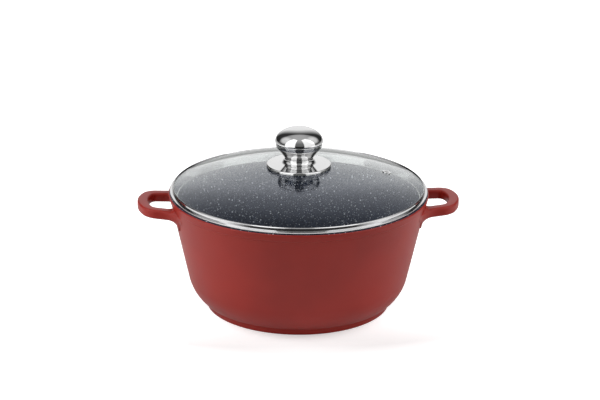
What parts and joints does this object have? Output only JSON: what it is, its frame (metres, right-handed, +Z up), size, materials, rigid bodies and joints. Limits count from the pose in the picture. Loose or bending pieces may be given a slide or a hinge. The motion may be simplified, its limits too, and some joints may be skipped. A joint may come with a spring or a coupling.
{
  "type": "casserole pot with glass lid",
  "caption": "Round cast cooking pot with loop handles, non-stick inside, and a lift-off domed glass lid with a steel rim band, steam vent and knob.",
  "frame": {"origin": "on the pot's axis, at the level of the surface it stands on", "axes": "+Z up along the pot's axis; +X and -X through the two handles; the lid's butt seam faces -Y"},
  "size_m": [0.3486, 0.2814, 0.1994],
  "materials": {
    "red_lacquered_casting": "deep-red heat-proof lacquer on die-cast aluminium, satin gloss",
    "nonstick_coating": "dark stone-look non-stick coating with fine pale specks, satin",
    "base_steel": "perforated ferritic stainless disc, turned flat with the base",
    "tempered_glass": "clear tempered soda-lime glass",
    "band_steel": "bright rolled stainless steel",
    "knob_steel": "polished stainless steel",
    "zinc_plated_steel": "zinc-plated steel",
    "silicone": "translucent pale silicone"
  },
  "bodies": {
    "pot": {"pot_body": "red_lacquered_casting", "nonstick_lining": "nonstick_coating", "induction_plate": "base_steel"},
    "lid": {"lid_glass": "tempered_glass", "lid_band": "band_steel", "vent_eyelet": "band_steel", "vent_washer": "band_steel", "knob_cap": "knob_steel", "knob_cup": "knob_steel", "knob_skirt": "knob_steel", "knob_bush": "zinc_plated_steel", "upper_gasket": "silicone", "lower_gasket": "silicone", "screw_washer": "zinc_plated_steel", "knob_screw": "zinc_plated_steel"}
  },
  "joints": [
    {"name": "lid_lift", "type": "slide", "parent": "pot", "child": "lid", "axis": [0, 0, 1], "range_m": [0, 0.15]}
  ]
}
